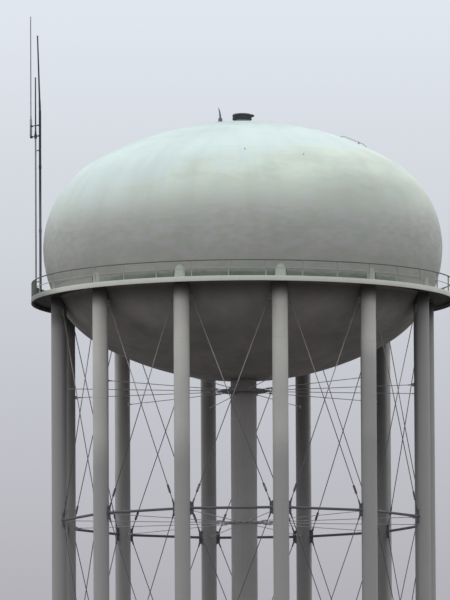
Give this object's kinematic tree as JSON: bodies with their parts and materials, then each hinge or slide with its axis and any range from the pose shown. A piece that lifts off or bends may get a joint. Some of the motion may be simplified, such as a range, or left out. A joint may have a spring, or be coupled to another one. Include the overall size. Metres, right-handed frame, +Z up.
{
  "type": "elevated water tower, multi-column, half-size scale model",
  "caption": "Half-size scale model of an elevated steel water tower: dished tank with a domed roof on tubular columns, braced by tie rods, with a balcony and antennas.",
  "frame": {"origin": "on the ground at the centre of the column ring, under the riser", "axes": "+Z up along the riser; -Y is the front of the picture turned by four degrees, so that bays are centred on +X, -X, +Y and -Y; +X to the right"},
  "size_m": [12.42, 12.42, 27.23],
  "materials": {
    "tank_paint": "weathered pale green-grey tank paint, satin",
    "column_paint": "weathered pale green-grey paint, satin",
    "bracing_paint": "weathered green-grey paint, satin",
    "balcony_paint": "weathered pale green-grey paint, satin",
    "vent_metal": "dark grey weathered metal",
    "mast_metal": "dull galvanised steel",
    "whip_fibreglass": "matt grey fibreglass"
  },
  "bodies": {
    "root": {"column_01": "column_paint", "column_02": "column_paint", "column_03": "column_paint", "column_04": "column_paint", "column_05": "column_paint", "column_06": "column_paint", "column_07": "column_paint", "column_08": "column_paint", "column_09": "column_paint", "column_10": "column_paint", "column_11": "column_paint", "column_12": "column_paint", "bracing_01": "bracing_paint", "bracing_02": "bracing_paint", "bracing_03": "bracing_paint", "bracing_04": "bracing_paint", "bracing_05": "bracing_paint", "bracing_06": "bracing_paint", "bracing_07": "bracing_paint", "bracing_08": "bracing_paint", "bracing_09": "bracing_paint", "bracing_10": "bracing_paint", "bracing_11": "bracing_paint", "bracing_12": "bracing_paint", "riser": "column_paint", "riser_ties_lower": "bracing_paint", "riser_ties_middle": "bracing_paint", "riser_ties_upper": "bracing_paint", "tank_bowl": "tank_paint", "tank_knuckle": "tank_paint", "tank_belt": "tank_paint", "tank_shoulder": "tank_paint", "tank_roof": "tank_paint", "balcony_deck": "balcony_paint", "balcony_fascia": "balcony_paint", "balcony_railing": "balcony_paint", "roof_vent_neck": "tank_paint", "roof_vent_cap": "vent_metal", "lightning_rod": "vent_metal", "antenna_mast": "mast_metal", "antenna_mast_whip": "whip_fibreglass", "antenna_side_pipe": "mast_metal", "antenna_side_whip": "whip_fibreglass"}
  },
  "joints": []
}
